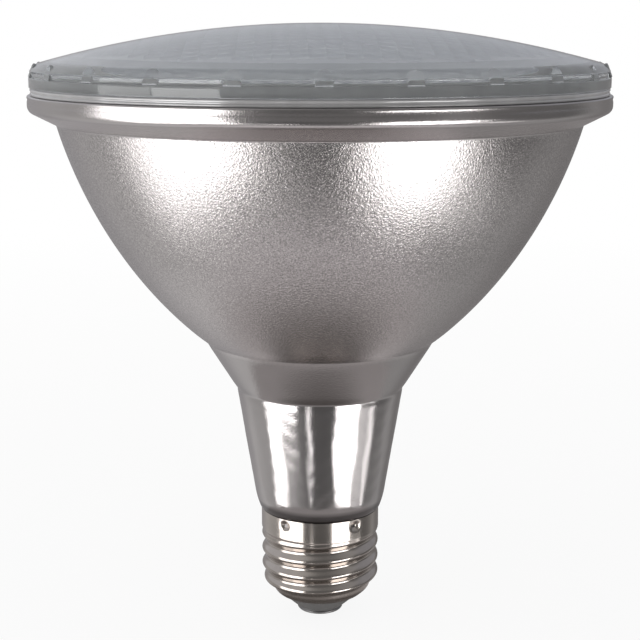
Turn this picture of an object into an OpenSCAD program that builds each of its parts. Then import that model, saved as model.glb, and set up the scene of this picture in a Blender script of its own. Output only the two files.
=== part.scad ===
// Reflector lamp with a pressed glass body, a prismatic lens and a screw cap, lit by a quartz burner.
// Millimetres. The axis is Z, the lens faces up, and the origin is the tip of the centre contact.

/* [Screw cap] */
// Outside diameter over the crests of the rolled thread
thread_d = 26.1; // [25.6:0.1:26.6]
// Rise of the right-hand thread in one turn
thread_pitch = 3.62; // [3.2:0.02:4]
// Depth of the thread from crest to root
thread_depth = 0.95; // [0.7:0.05:1.1]
// Thickness of the shell's metal
shell_wall = 0.5; // [0.4:0.05:0.7]
// Length of the shell from its foot to its rim
shell_h = 19.9; // [18:0.1:24]
// Height of the plain band under the rim
band_h = 4.7; // [4:0.1:6]
// Diameter of the shell's foot
foot_d = 19.8; // [15:0.1:22]
// Height over which the shell narrows to its foot
foot_h = 4.5; // [3.5:0.1:10]
// Diameter of each punched dimple that locks the cap to the glass
dimple_d = 2.8; // [2:0.1:3.4]
// Depth of each dimple
dimple_depth = 0.7; // [0.4:0.05:0.8]

/* [Contact end] */
// Diameter of the centre contact
contact_d = 10.2; // [8:0.1:11]
// Thickness of the contact's rim
contact_t = 0.8; // [0.5:0.1:1.2]
// Height of the insulator's nose below the shell
nose_h = 3.9; // [1.2:0.1:5]
// Height of the solder dome on the contact
solder_h = 1.3; // [0.8:0.1:2]
// Height of the insulator inside the shell
insulator_h = 5; // [3.5:0.1:6.5]
// Diameter of the wire hole through the insulator
wire_hole_d = 3; // [2.6:0.1:4]

/* [Neck] */
// How far the glass stands out over the cap's band
neck_ledge = 0.2; // [0.1:0.05:1.2]
// Diameter at the shoulder where the neck turns in towards the cap
neck_shoulder_d = 28.5; // [27:0.1:30]
// Height of the shoulder above the cap
neck_shoulder_h = 2.7; // [2:0.1:4]
// Diameter at the top of the neck
neck_top_d = 36.6; // [34:0.1:38]
// Height of the neck above the cap
neck_h = 26.9; // [24:0.1:34]
// Diameter of the hollow in the neck, at its mouth
hollow_d = 21.6; // [20:0.1:22.6]
// How much narrower the hollow is at its top, for the plunger to draw
hollow_draft = 1.2; // [0.4:0.1:2]

/* [Bowl] */
// Diameter at the top of the short cone above the neck
cone_top_d = 49.2; // [46:0.1:52]
// Height of the short cone
cone_h = 10.8; // [9:0.1:13]
// Diameter at the top of the bowl
bowl_d = 109.8; // [104:0.1:114]
// Height of the bowl
bowl_h = 47.5; // [42:0.1:54]
// Slope of the bowl's outline where it leaves the cone, in degrees
bowl_low_slope = 38.8; // [34:0.1:44]
// Slope of the bowl's outline under the rim, in degrees
bowl_high_slope = 74.5; // [70:0.1:80]
// Glass across the mouth and the foot of the reflector
bowl_wall = 3.2; // [2.6:0.1:4]
// Diameter of the well at the bottom of the reflector
well_d = 24; // [22:0.1:26]
// Thickness of the glass web that carries the ferrules
web_t = 3.6; // [3:0.1:4.6]

/* [Rim] */
// Greatest diameter of the lamp, over the rim
lip_d = 121; // [118:0.1:124]
// Height of the upright face of the rim
lip_h = 2.1; // [1.6:0.1:3]
// Rounding under the rim
lip_round = 1.6; // [1:0.1:2]
// Height of the slope from the bowl out to the rim
collar_h = 3.85; // [3:0.05:6]
// Height of the cemented joint under the lens
seal_h = 1.45; // [0.8:0.05:2]
// How far the cement stays behind the edge of the lens
seal_set_back = 0.1; // [0:0.05:0.5]

/* [Lens] */
// Diameter of the lens
lens_d = 120; // [118:0.1:120.6]
// Radius of the domed face
dome_radius = 215; // [180:1:300]
// Thickness of the lens
lens_t = 3.2; // [2.6:0.1:4]
// Rounding of the lens edge
shoulder_r = 3; // [2.4:0.1:4]
// Height of the flange below the rounded edge
flange_h = 2.15; // [1.8:0.05:3]
// Width of the flange
flange_w = 4.8; // [4:0.1:6]
// Radius of the field of prisms
field_r = 50.2; // [30:0.1:52]
// Side of one square prism
prism_pitch = 3.2; // [3:0.1:8]
// Height of one prism
prism_h = 0.7; // [0.3:0.05:1]
// Turn of the prism rows about the axis, in degrees
field_turn = 1.5; // [0:0.5:45]
// Lugs across the groove in the lens edge
lug_count = 24; // [12:1:30]
// Width of one lug
lug_w = 2.6; // [1.6:0.1:3.2]
// Height of one lug
lug_h = 2.6; // [1.8:0.1:2.8]
// Depth of the groove
groove_depth = 0.9; // [0.5:0.1:1.2]
// Height of the groove
groove_h = 1.4; // [0.8:0.1:1.6]

/* [Burner] */
// Outside diameter of the quartz tube
burner_d = 10; // [9:0.1:11]
// Thickness of the quartz
quartz_t = 1; // [0.8:0.05:1.3]
// Height of the tube from the pinch to the start of its dome
tube_h = 8; // [7.5:0.1:12]
// Height of the filament's axis above the pinch
light_h = 4; // [3.4:0.1:5]
// Width of the pinch
pinch_w = 9.6; // [8.6:0.1:10.6]
// Thickness of the pinch
pinch_t = 3; // [2.4:0.1:3.6]
// Height of the pinch
pinch_h = 6.5; // [6:0.1:8]
// Distance between the two pins
pin_pitch = 5.2; // [4.4:0.1:5.4]
// Diameter of one pin
pin_d = 0.8; // [0.6:0.05:1]
// Length of a pin below the pinch
pin_h = 1.6; // [1:0.1:3]
// Width of the foil in the pinch
foil_w = 2; // [1.6:0.1:2.4]
// Height of the foil
foil_h = 4; // [3:0.1:4.6]
// Thickness of the foil
foil_t = 0.1; // [0.05:0.01:0.2]
// Diameter of the filament's coil
coil_d = 1.8; // [1.2:0.1:2.4]
// Diameter of the coiled wire
coil_wire_d = 0.34; // [0.24:0.02:0.4]
// Turns of the filament
coil_turns = 7; // [5:1:9]

/* [Leads] */
// Diameter of the support leads inside the reflector
support_d = 1.2; // [0.9:0.1:1.6]
// Height of a support lead from its ferrule to the pin
support_h = 5; // [4.5:0.1:8]
// Distance between the two ferrules
ferrule_pitch = 11.2; // [10.4:0.1:12.4]
// Outside diameter of a ferrule
ferrule_d = 5.2; // [4.6:0.1:5.6]
// Wall of a ferrule
ferrule_wall = 0.3; // [0.2:0.05:0.4]
// How far a ferrule stands out above and below the web
ferrule_stand = 1; // [0.6:0.1:1.6]
// Diameter of the wires in the neck
wire_d = 1; // [0.7:0.1:1.2]
// Bend radius of all leads
bend_r = 1.4; // [1:0.1:1.6]
// Slant of the leads where they cross over, in degrees
slant = 50; // [42:1:60]
// Diameter of the exhaust tube
exhaust_d = 4; // [3:0.1:4.6]
// Length of the exhaust tube
exhaust_h = 11; // [8:0.1:14]
// Wall of the exhaust tube
exhaust_wall = 0.8; // [0.5:0.1:1]
// Length of the fuse sleeve
fuse_h = 11; // [8:0.1:11]
// Diameter of the fuse sleeve
fuse_d = 3.2; // [2.6:0.1:3.6]

/* [Hidden] */
$fn = 96;

// Clearances and the overrun of every cut
seat_gap = 0.02;
cap_gap = 0.1;
over = 0.5;
// Turn of the thread, of the dimples and of the lugs about the axis
thread_turn = 343;
dimple_turn = 18;
dimple_count = 5;
lug_turn = 270.7;
// Small sizes of the shell: how far its band stands proud of the crests, the drop of the dimples' centres
// from the rim, and the run-out of the roll at the foot and under the band
band_relief = 0.05;
dimple_drop = 1.5;
roll_fade = 2;
roll_end_fade = 1.2;
// Facets: sides and steps in one turn of the thread, sides of the lens, sides of the coiled wire
thread_sides = 28;
thread_steps = 9;
lens_sides = 80;
lug_sides = 16;
wire_sides = 6;
lead_sides = 8;
coil_steps = 10;
arc_steps = 5;
bowl_steps = 18;
bore_steps = 6;
dome_steps = 8;
mirror_steps = 16;
// Shares of the bowl's chord that its end slopes hold
bowl_pull_shares = [0.332, 0.339];

// Radii that the driving diameters give
thread_r = thread_d / 2;
foot_r = foot_d / 2;
band_r = thread_r + band_relief;
band_bore_r = band_r - shell_wall;
root_bore_r = thread_r - thread_depth - shell_wall;
spigot_r = band_bore_r - cap_gap;
neck_low_r = band_r + neck_ledge;
neck_top_r = neck_top_d / 2;
cone_top_r = cone_top_d / 2;
bowl_r = bowl_d / 2;
lip_r = lip_d / 2;
lens_r = lens_d / 2;
mouth_r = lens_r - flange_w;
well_r = well_d / 2;
hollow_r = hollow_d / 2;
contact_r = contact_d / 2;
wire_hole_r = wire_hole_d / 2;
ferrule_r = ferrule_d / 2;
ferrule_x = ferrule_pitch / 2;
pin_x = pin_pitch / 2;
burner_r = burner_d / 2;
wire_r = wire_d / 2;
eyelet_r = wire_hole_r - seat_gap;

// Heights, stacked from the tip of the contact up
contact_z = solder_h;
nose_z = contact_z + contact_t;
shell_z = nose_z + nose_h;
insulator_z = shell_z + insulator_h;
rim_z = shell_z + shell_h;
band_z = rim_z - band_h;
ledge_z = band_z + shell_wall;
neck_top_z = rim_z + neck_h;
cone_top_z = neck_top_z + cone_h;
bowl_top_z = cone_top_z + bowl_h;
lip_z = bowl_top_z + collar_h;
body_top_z = lip_z + lip_h;
lens_z = body_top_z + seal_h;
shoulder_z = lens_z + flange_h;

// The domed face is a sphere that runs tangent into the rounded edge
dome_edge_a = asin((lens_r - shoulder_r) / (dome_radius - shoulder_r));
dome_z = shoulder_z - (dome_radius - shoulder_r) * cos(dome_edge_a);

// The mirror is a paraboloid through the wall at the bowl's foot and at its mouth
mirror_low_r = cone_top_r - bowl_wall;
mirror_high_r = bowl_r - bowl_wall;
mirror_k = (pow(mirror_high_r, 2) - pow(mirror_low_r, 2)) / bowl_h;
mirror_z = cone_top_z - pow(mirror_low_r, 2) / mirror_k;
focus_z = mirror_z + mirror_k / 4;

// The burner hangs at the focus, and the web lies where its leads end
pinch_top_z = focus_z - light_h;
pinch_z = pinch_top_z - pinch_h;
foil_z = pinch_z + (pinch_h - foil_h) / 2;
pin_z = pinch_z - pin_h;
ferrule_top_z = pin_z - support_h;
floor_z = ferrule_top_z - ferrule_stand;
web_z = floor_z - web_t;
ferrule_z = web_z - ferrule_stand;
spigot_z = ledge_z + cap_gap;

// The dimples are spheres pressed in through the band, close under the rim
dimple_r = (pow(dimple_d / 2, 2) + pow(dimple_depth, 2)) / (2 * dimple_depth);
dimple_z = rim_z - dimple_drop;
dimple_centre_r = band_r - dimple_depth + dimple_r;

function smooth(t) = 0.5 - 0.5 * cos(180 * min(1, max(0, t)));
function unit(v) = v / norm(v);

// Points of the arc of radius r that rounds the corner b between a and c
function fillet(a, b, c, r) =
    let (u = unit(a - b), v = unit(c - b), half = acos(u * v) / 2)
    let (m = b + unit(u + v) * r / sin(half))
    let (p = b + u * r / tan(half) - m, q = b + v * r / tan(half) - m)
    let (from = atan2(p.y, p.x), turn = (atan2(q.y, q.x) - from + 540) % 360 - 180)
    [for (k = [0 : arc_steps]) let (a = from + turn * k / arc_steps) m + r * [cos(a), sin(a)]];

// A cubic curve between p and s that leaves and arrives along the handles q and r
function curve(p, q, r, s, steps) =
    [for (k = [0 : steps]) let (t = k / steps, w = 1 - t)
        pow(w, 3) * p + 3 * w * w * t * q + 3 * w * t * t * r + pow(t, 3) * s];

// Faces of a closed skin over rings of points that run anticlockwise seen from the last ring
function skin_faces(rings, sides) = concat(
    [[for (i = [0 : sides - 1]) i]],
    [for (k = [0 : rings - 2], i = [0 : sides - 1])
        let (a = k * sides + i, b = k * sides + (i + 1) % sides)
        each [[a, a + sides, b], [b, a + sides, b + sides]]],
    [[for (i = [sides - 1 : -1 : 0]) (rings - 1) * sides + i]]);

// A wire in the plane of the two leads that rises from p, crosses over on a slant and rises again to q
function crossing(p, q, foot) =
    let (low = [p.x, p.y + foot], high = [q.x, p.y + foot + abs(q.x - p.x) / tan(slant)])
    [for (w = concat([p], fillet(p, low, high, bend_r), fillet(low, high, q, bend_r), [q])) [w.x, 0, w.y]];

// Shell: outside radius at height h above the foot, before and after the thread is rolled in, and its bore
function shell_form(h) = foot_r + (thread_r - foot_r) * sin(90 * min(1, h / foot_h));
function roll_share(h) = smooth(h / roll_fade) * smooth((band_z - shell_z - h) / roll_end_fade);
function thread_phase(h, a) = 360 * (h - band_z + shell_z) / thread_pitch - a + thread_turn;
function rolled_r(h, a) =
    shell_form(h) - thread_depth * roll_share(h) * (0.5 - 0.5 * cos(thread_phase(h, a)));
shell_bore_points = [for (k = [0 : bore_steps]) let (h = foot_h * k / bore_steps)
    [h, min(root_bore_r, shell_form(h) - shell_wall - thread_depth * smooth(h / roll_fade))]];
function shell_bore_r(h) = lookup(h, shell_bore_points);

// Outside of the glass body, from the spigot up to the rim
spigot_edge = 0.3;
neck_round = 1;
neck_bend_r = 15;
corner_round = 1.6;
lip_edge = 0.25;
collar_slope = 27;
neck_low = [neck_low_r, rim_z];
neck_shoulder = [neck_shoulder_d / 2, rim_z + neck_shoulder_h];
neck_top = [neck_top_r, neck_top_z];
cone_top = [cone_top_r, cone_top_z];
bowl_top = [bowl_r, bowl_top_z];
bowl_chord = norm(bowl_top - cone_top);
bowl_low_pull = bowl_pull_shares[0] * bowl_chord;
bowl_high_pull = bowl_pull_shares[1] * bowl_chord;
bowl_curve = curve(
    cone_top,
    cone_top + bowl_low_pull * [cos(bowl_low_slope), sin(bowl_low_slope)],
    bowl_top - bowl_high_pull * [cos(bowl_high_slope), sin(bowl_high_slope)],
    bowl_top, bowl_steps);
lip_arc = [for (k = [0 : arc_steps]) let (a = (collar_slope - 90) * (1 - k / arc_steps))
    [lip_r - lip_round + lip_round * cos(a), lip_z + lip_round * sin(a)]];
body_outside = concat(
    [[spigot_r - spigot_edge, spigot_z], [spigot_r, spigot_z + spigot_edge], [spigot_r, rim_z]],
    fillet([spigot_r, rim_z], neck_low, neck_shoulder, neck_round),
    fillet(neck_low, neck_shoulder, neck_top, neck_bend_r),
    fillet(neck_shoulder, neck_top, cone_top, corner_round),
    fillet(neck_top, cone_top, bowl_curve[1], corner_round),
    [for (k = [1 : bowl_steps]) bowl_curve[k]],
    lip_arc,
    [[lip_r, body_top_z - lip_edge], [lip_r - lip_edge, body_top_z]]);

// Inside of the glass body: the mirror from the rim down to the well, and the hollow neck
well_top_z = mirror_z + pow(well_r, 2) / mirror_k;
body_mirror = [for (k = [0 : mirror_steps])
    let (r = mirror_high_r + (well_r - mirror_high_r) * k / mirror_steps)
    [r, mirror_z + r * r / mirror_k]];
body_inside = concat([[mouth_r, body_top_z]], body_mirror, [[well_r, floor_z], [0, floor_z]]);
neck_hollow = [
    [0, spigot_z - over], [hollow_r, spigot_z - over], [hollow_r, spigot_z],
    [hollow_r - hollow_draft / 2, web_z], [0, web_z]
];

module reflector_body() {
    color([0.78, 0.77, 0.75])
    difference() {
        rotate_extrude() polygon(concat(body_outside, body_inside, [[0, spigot_z]]));
        rotate_extrude() polygon(neck_hollow);
        for (side = [-1, 1]) translate([side * ferrule_x, 0, web_z - over])
            cylinder(r = ferrule_r + seat_gap, h = web_t + 2 * over);
        translate([0, 0, web_z - over]) cylinder(r = exhaust_d / 2 - exhaust_wall, h = web_t + 2 * over);
        intersection() {
            dimples(dimple_r + shell_wall + cap_gap / 2);
            cylinder(r = band_r, h = rim_z);
        }
    }
}

// The spheres that are pressed in round the band
module dimples(r) {
    for (i = [0 : dimple_count - 1]) rotate(dimple_turn + i * 360 / dimple_count)
        translate([dimple_centre_r, 0, dimple_z]) sphere(r = r);
}

// Rolled shell: the thread is a skin of rings whose radius follows the roll, bored from inside
module cap_shell() {
    roll_h = band_z - shell_z;
    rings = ceil(roll_h / thread_pitch * thread_steps) + 1;
    heights = [for (k = [0 : rings - 1]) roll_h * k / (rings - 1)];
    skin = [for (h = heights, i = [0 : thread_sides - 1]) let (a = 360 * i / thread_sides)
        [rolled_r(h, a) * cos(a), rolled_r(h, a) * sin(a), shell_z + h]];
    bore_low = [for (p = shell_bore_points) [p[1], shell_z + p[0]]];
    bore = concat(
        [[0, shell_z - over], [shell_bore_r(0), shell_z - over]], bore_low,
        [[root_bore_r, ledge_z], [band_bore_r, ledge_z], [band_bore_r, rim_z + over], [0, rim_z + over]]);
    color([0.80, 0.77, 0.70])
    difference() {
        union() {
            difference() {
                union() {
                    polyhedron(skin, skin_faces(rings, thread_sides));
                    translate([0, 0, band_z]) cylinder(r = band_r, h = band_h);
                }
                rotate_extrude() polygon(bore);
            }
            intersection() {
                dimples(dimple_r + shell_wall);
                translate([0, 0, ledge_z])
                    cylinder(r = band_bore_r + shell_wall / 2, h = band_h - shell_wall);
            }
        }
        dimples(dimple_r);
    }
}

// Glass-filled foot of the cap, with its nose round the contact
module cap_insulator() {
    inside = [for (p = shell_bore_points) if (p[0] < insulator_h) [p[1] - seat_gap, shell_z + p[0]]];
    color([0.26, 0.26, 0.27])
    rotate_extrude() polygon(concat(
        [[wire_hole_r, nose_z], [contact_r + seat_gap, nose_z]], inside,
        [[shell_bore_r(insulator_h) - seat_gap, insulator_z], [wire_hole_r, insulator_z - wire_hole_r]]));
}

// Contact button with a rolled edge and the eyelet that holds the wire
eyelet_wall = 0.4;
eyelet_h = 3;
module centre_contact() {
    edge = contact_t / 2;
    outline = concat(
        [[eyelet_r - eyelet_wall, contact_z], [contact_r - edge, contact_z]],
        [for (k = [1 : arc_steps - 1]) let (a = 180 * k / arc_steps - 90)
            [contact_r - edge + edge * cos(a), contact_z + edge + edge * sin(a)]],
        [[contact_r - edge, nose_z], [eyelet_r, nose_z], [eyelet_r, nose_z + eyelet_h],
            [eyelet_r - eyelet_wall, nose_z + eyelet_h]]);
    color([0.52, 0.52, 0.52]) rotate_extrude() polygon(outline);
}

// Solder that domes over the contact and fills the eyelet up to the wire
solder_w = 0.9;
module contact_solder() {
    dome_foot_r = contact_r - solder_w;
    dome_sphere_r = (pow(dome_foot_r, 2) + pow(solder_h, 2)) / (2 * solder_h);
    dome_a = asin(dome_foot_r / dome_sphere_r);
    fill_r = eyelet_r - eyelet_wall;
    color([0.45, 0.45, 0.46])
    rotate_extrude() polygon(concat(
        [for (k = [0 : arc_steps]) let (a = dome_a * k / arc_steps)
            [dome_sphere_r * sin(a), dome_sphere_r * (1 - cos(a))]],
        [[fill_r, contact_z], [fill_r, wire_foot_z], [0, wire_foot_z]]));
}

// A round wire of radius r swept along a path that never runs along the direction beside
module wire(path, r, sides, beside) {
    last = len(path) - 1;
    rings = [for (k = [0 : last])
        let (t = unit(path[min(last, k + 1)] - path[max(0, k - 1)]))
        let (u = unit(cross(t, beside)), v = cross(t, u))
        for (i = [0 : sides - 1]) let (a = 360 * i / sides) path[k] + r * (cos(a) * u + sin(a) * v)];
    polyhedron(rings, skin_faces(last + 1, sides));
}

// Stiff lead from the top of its ferrule in to the burner's pin
support_foot_h = 1;
module support_lead(side) {
    path = crossing([side * ferrule_x, ferrule_top_z], [side * pin_x, pin_z], support_foot_h);
    color([0.68, 0.68, 0.66]) wire(path, support_d / 2, lead_sides, [0, 1, 0]);
}

// Wire from the centre contact up through the insulator and the fuse sleeve to its ferrule
wire_sink = 1.5;
wire_clear_h = 3;
wire_foot_z = nose_z + eyelet_h - wire_sink;
wire_top_z = ferrule_top_z - ferrule_wall;
module neck_lead_centre() {
    centre_rise = insulator_z + wire_clear_h - wire_foot_z;
    path = crossing([0, wire_foot_z], [ferrule_x, wire_top_z], centre_rise);
    color([0.72, 0.70, 0.66]) wire(path, wire_r, lead_sides, [0, 1, 0]);
}

// Wire from the wall of the shell up to the other ferrule
side_drop = 6;
side_rise = 3;
side_foot_z = ledge_z - side_drop;
side_x = root_bore_r - wire_r - seat_gap;
module neck_lead_side() {
    path = crossing([-side_x, side_foot_z], [-ferrule_x, wire_top_z], side_rise);
    color([0.72, 0.70, 0.66]) wire(path, wire_r, lead_sides, [0, 1, 0]);
}

// Drop of solder that joins the side wire to the wall of the shell
drop_r = 1.5;
module shell_joint() {
    color([0.62, 0.62, 0.63])
    difference() {
        intersection() {
            translate([-root_bore_r, 0, side_foot_z]) sphere(r = drop_r);
            translate([0, 0, side_foot_z - drop_r])
                cylinder(r = root_bore_r - seat_gap / 2, h = 2 * drop_r);
        }
        translate([-side_x, 0, side_foot_z - seat_gap]) cylinder(r = wire_r + seat_gap, h = 2 * drop_r);
    }
}

// Glass-fibre sleeve round the fuse length of the centre wire
sleeve_drop = 3;
module fuse_sleeve() {
    color([0.86, 0.85, 0.80]) translate([ferrule_x, 0, ferrule_z - sleeve_drop - fuse_h])
    difference() {
        cylinder(r = fuse_d / 2, h = fuse_h);
        translate([0, 0, -over]) cylinder(r = wire_r + seat_gap, h = fuse_h + 2 * over);
    }
}

// Metal thimble sealed into the web, open below
module ferrule(side) {
    bore_r = ferrule_r - ferrule_wall;
    color([0.66, 0.66, 0.64]) translate([side * ferrule_x, 0, 0]) rotate_extrude() polygon([
        [bore_r, ferrule_z], [ferrule_r, ferrule_z], [ferrule_r, ferrule_top_z - ferrule_wall],
        [ferrule_r - ferrule_wall, ferrule_top_z], [0, ferrule_top_z], [0, wire_top_z], [bore_r, wire_top_z]
    ]);
}

// Tipped-off tube under the web, closed by a rounded end
module exhaust_tube() {
    outer_r = exhaust_d / 2;
    inner_r = outer_r - exhaust_wall;
    end_z = web_z - exhaust_h;
    color([0.80, 0.84, 0.85, 0.6]) rotate_extrude() polygon(concat(
        [[inner_r, web_z], [inner_r, end_z + outer_r]],
        [for (k = [1 : arc_steps]) let (a = 90 * k / arc_steps)
            [inner_r * cos(a), end_z + outer_r - inner_r * sin(a)]],
        [for (k = [arc_steps : -1 : 1]) let (a = 90 * k / arc_steps)
            [outer_r * cos(a), end_z + outer_r - outer_r * sin(a)]],
        [[outer_r, end_z + outer_r], [outer_r, web_z]]));
}

// Quartz capsule: a domed tube over a flat pinch that is slotted for the foils
tip_r = 1.1;
tip_h = 1.6;
module burner_envelope() {
    chamber_r = burner_r - quartz_t;
    dome_top_z = pinch_top_z + tube_h;
    foot_round = quartz_t;
    outside = concat(
        [[0, pinch_top_z - foot_round], [burner_r - foot_round, pinch_top_z - foot_round],
            [burner_r, pinch_top_z]],
        [for (k = [0 : arc_steps]) let (a = 75 * k / arc_steps)
            [burner_r * cos(a), dome_top_z + burner_r * sin(a)]],
        [[tip_r / 2, dome_top_z + burner_r + tip_h], [0, dome_top_z + burner_r + tip_h]]);
    chamber = concat(
        [[0, pinch_top_z], [chamber_r, pinch_top_z]],
        [for (k = [0 : arc_steps - 1]) let (a = 90 * k / arc_steps)
            [chamber_r * cos(a), dome_top_z + chamber_r * sin(a)]],
        [[0, dome_top_z + chamber_r]]);
    color([0.86, 0.88, 0.90, 0.5])
    difference() {
        union() {
            rotate_extrude() polygon(outside);
            translate([-pinch_w / 2, -pinch_t / 2, pinch_z]) cube([pinch_w, pinch_t, pinch_h]);
        }
        rotate_extrude() polygon(chamber);
        for (side = [-1, 1]) translate([side * pin_x, 0, 0]) {
            translate([-foil_w / 2 - seat_gap, -foil_t / 2 - seat_gap, foil_z])
                cube([foil_w + 2 * seat_gap, foil_t + 2 * seat_gap, foil_h]);
            translate([0, 0, pinch_z - over])
                cylinder(r = pin_d / 2 + seat_gap, h = foil_z - pinch_z + over);
            translate([0, 0, foil_z + foil_h])
                cylinder(r = coil_wire_d / 2 + seat_gap, h = pinch_top_z - foil_z - foil_h + over);
        }
    }
}

module burner_foil(side) {
    color([0.60, 0.60, 0.62])
        translate([side * pin_x - foil_w / 2, -foil_t / 2, foil_z]) cube([foil_w, foil_t, foil_h]);
}

module burner_pin(side) {
    color([0.66, 0.66, 0.66])
        translate([side * pin_x, 0, pin_z]) cylinder(r = pin_d / 2, h = foil_z - pin_z);
}

// Coil across the axis with a leg down to each foil, swept as one wire
module burner_filament() {
    turn_r = (coil_d - coil_wire_d) / 2;
    leg_z = foil_z + foil_h;
    leg_in = coil_wire_d;
    span = pin_pitch - 2 * leg_in;
    steps = coil_turns * coil_steps;
    helix = [for (k = [0 : steps]) let (a = 360 * k / coil_steps)
        [span * (k / steps - 0.5), turn_r * sin(a), focus_z - turn_r * cos(a)]];
    path = concat(
        [[-pin_x, 0, leg_z], [-pin_x, 0, focus_z - coil_d]], helix,
        [[pin_x, 0, focus_z - coil_d], [pin_x, 0, leg_z]]);
    color([0.42, 0.42, 0.44]) wire(path, coil_wire_d / 2, wire_sides, [1, 0, 0]);
}

// Bead of cement between the lens and the body
seal_edge = 0.3;
module rim_seal() {
    outer_r = lens_r - seal_set_back;
    color([0.58, 0.58, 0.58]) rotate_extrude() polygon([
        [mouth_r, body_top_z], [outer_r - seal_edge, body_top_z], [outer_r, body_top_z + seal_edge],
        [outer_r, lens_z - seal_edge], [outer_r - seal_edge, lens_z], [mouth_r, lens_z]
    ]);
}

// Height of the lens's inner face at the distance r from the axis
function inner_face_z(r) = dome_z + sqrt(pow(dome_radius - lens_t, 2) - r * r);

// Pressed lens: domed glass with a flange, a grooved edge crossed by lugs, and the field of prisms
module front_lens() {
    color([0.70, 0.74, 0.76, 0.6])
    union() {
        difference() {
            rotate_extrude($fn = lens_sides) polygon(lens_outline());
            translate([0, 0, shoulder_z + groove_lift - groove_h]) difference() {
                cylinder(r = lens_r + over, h = groove_h, $fn = lens_sides);
                translate([0, 0, -over])
                    cylinder(r = lens_r - groove_depth, h = groove_h + 2 * over, $fn = lens_sides);
            }
        }
        rotate(field_turn) prism_field();
        for (i = [0 : lug_count - 1]) rotate(lug_turn + i * 360 / lug_count) lug();
    }
}

groove_lift = 0.8;
function lens_outline() = concat(
    [for (k = [0 : dome_steps]) let (a = dome_edge_a * k / dome_steps)
        [dome_radius * sin(a), dome_z + dome_radius * cos(a)]],
    [for (k = [1 : arc_steps]) let (a = (90 - dome_edge_a) * (1 - k / arc_steps))
        [lens_r - shoulder_r + shoulder_r * cos(a), shoulder_z + shoulder_r * sin(a)]],
    [[lens_r, lens_z], [mouth_r, lens_z]],
    [for (k = [dome_steps : -1 : 0]) let (r = mouth_r * k / dome_steps) [r, inner_face_z(r)]]);

// One lug: an upright pad with a rounded head that bridges the groove
module lug() {
    pad_depth = groove_depth + over;
    pad_x = lens_r - groove_depth - over + lug_set_back;
    low_z = shoulder_z + groove_lift - groove_h;
    hull() {
        translate([pad_x, -lug_w / 2, low_z]) cube([pad_depth - 2 * lug_set_back, lug_w, groove_h]);
        translate([pad_x - lug_lean, 0, low_z + lug_h - lug_w / 2]) rotate([0, 90, 0])
            cylinder(r = lug_w / 2, h = pad_depth - 2 * lug_set_back, $fn = lug_sides);
    }
}

lug_set_back = 0.1;
lug_lean = 0.35;

// Square pyramids under the inner face, as one closed block whose top lies inside the glass
module prism_field() {
    n = ceil(field_r / prism_pitch);
    row = 2 * n + 1;
    count = row * row;
    skin_t = lens_t / 4;
    function kept(i, j) = norm([i + 0.5, j + 0.5]) * prism_pitch < field_r - prism_pitch / 2;
    function corner(i, j) = (i + n) * row + j + n;
    function face_z(i, j) = inner_face_z(norm([i, j]) * prism_pitch);
    cells = [for (i = [-n : n - 1], j = [-n : n - 1]) if (kept(i, j)) [i, j]];
    edge_points = [for (lift = [-prism_h / 4, skin_t], i = [-n : n], j = [-n : n])
        [i * prism_pitch, j * prism_pitch, face_z(i, j) + lift]];
    peaks = [for (c = cells) [(c.x + 0.5) * prism_pitch, (c.y + 0.5) * prism_pitch,
        face_z(c.x + 0.5, c.y + 0.5) - prism_h]];
    faces = [for (k = [0 : len(cells) - 1])
        let (i = cells[k].x, j = cells[k].y, peak = 2 * count + k)
        let (q = [corner(i, j), corner(i + 1, j), corner(i + 1, j + 1), corner(i, j + 1)])
        let (beside = [kept(i, j - 1), kept(i + 1, j), kept(i, j + 1), kept(i - 1, j)])
        each concat(
            [for (s = [0 : 3]) [q[s], q[(s + 1) % 4], peak]],
            [[q[0] + count, q[3] + count, q[2] + count], [q[0] + count, q[2] + count, q[1] + count]],
            [for (s = [0 : 3]) if (!beside[s]) let (a = q[s], b = q[(s + 1) % 4])
                each [[a, a + count, b], [a + count, b + count, b]]])];
    polyhedron(concat(edge_points, peaks), faces);
}

front_lens();
rim_seal();
reflector_body();
ferrule(-1);  // ferrule_left
ferrule(1);  // ferrule_right
exhaust_tube();
support_lead(-1);  // support_lead_left
support_lead(1);  // support_lead_right
burner_envelope();
burner_foil(-1);  // burner_foil_left
burner_foil(1);  // burner_foil_right
burner_pin(-1);  // burner_pin_left
burner_pin(1);  // burner_pin_right
burner_filament();
neck_lead_centre();
neck_lead_side();
fuse_sleeve();
shell_joint();
cap_shell();
cap_insulator();
centre_contact();
contact_solder();
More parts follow.
